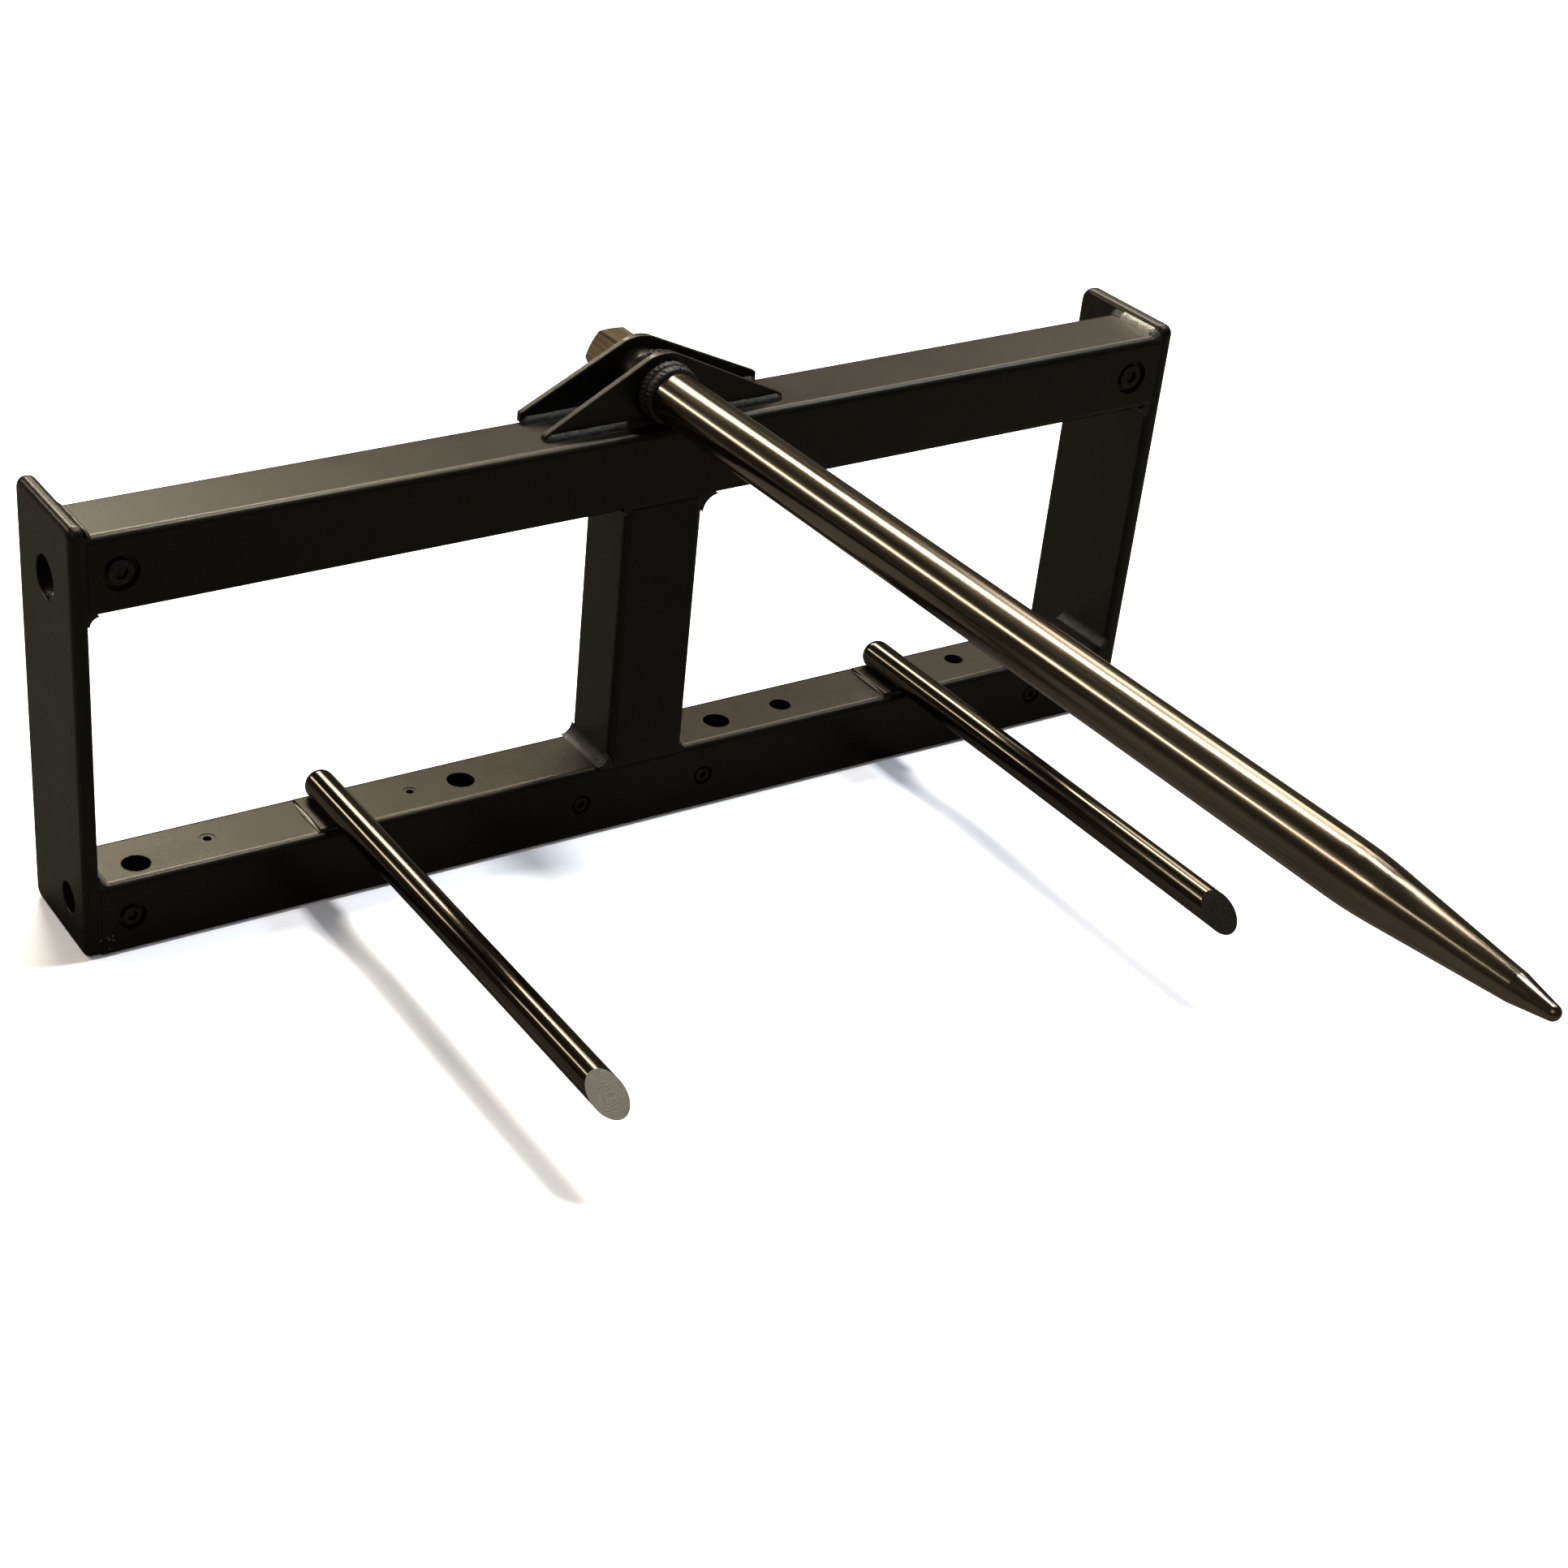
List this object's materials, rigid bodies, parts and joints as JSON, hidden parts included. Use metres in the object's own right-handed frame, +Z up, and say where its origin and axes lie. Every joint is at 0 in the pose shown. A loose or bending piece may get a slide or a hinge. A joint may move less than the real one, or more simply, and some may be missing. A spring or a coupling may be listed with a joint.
{
  "type": "bale spear",
  "caption": "Welded carrier frame of box rails and end plates with a long tapered turned spear on top and short bevelled stabiliser spikes below, for lifting bales",
  "frame": {"origin": "centre of the post's back face, where the frame meets its carrier", "axes": "+Z up, spears point along -Y, +Y is the way the back face looks, +X to the right of someone facing the spear tips"},
  "size_m": [1.172, 1.196, 0.485],
  "materials": {
    "frame_paint": "satin black paint",
    "weld_bead": "painted weld bead",
    "spear_steel": "turned, lightly bronzed",
    "spike_steel": "dark rolled, glossy",
    "nut_steel": "passivated",
    "screw_steel": "dark, worn"
  },
  "bodies": {
    "root": {"bottom_left_rail_weld": "weld_bead", "bottom_left_screw": "screw_steel", "bottom_rail": "frame_paint", "bottom_right_rail_weld": "weld_bead", "bottom_right_screw": "screw_steel", "centre_post": "frame_paint", "collar_weld": "weld_bead", "front_gusset": "frame_paint", "front_gusset_weld": "weld_bead", "inner_set_screw": "screw_steel", "left_cradle": "frame_paint", "left_cradle_weld": "weld_bead", "left_end_plate": "frame_paint", "left_spike": "spike_steel", "main_spear": "spear_steel", "outer_set_screw": "screw_steel", "post_bottom_left_weld": "weld_bead", "post_bottom_right_weld": "weld_bead", "post_left_screw": "screw_steel", "post_right_screw": "screw_steel", "post_top_left_weld": "weld_bead", "post_top_right_weld": "weld_bead", "rear_gusset": "frame_paint", "rear_gusset_weld": "weld_bead", "right_cradle": "frame_paint", "right_cradle_weld": "weld_bead", "right_end_plate": "frame_paint", "right_spike": "spike_steel", "sleeve_weld": "weld_bead", "spear_nut": "nut_steel", "spear_sleeve": "frame_paint", "spear_washer": "nut_steel", "top_left_rail_weld": "weld_bead", "top_left_screw": "screw_steel", "top_rail": "frame_paint", "top_right_rail_weld": "weld_bead", "top_right_screw": "screw_steel"}
  },
  "joints": []
}
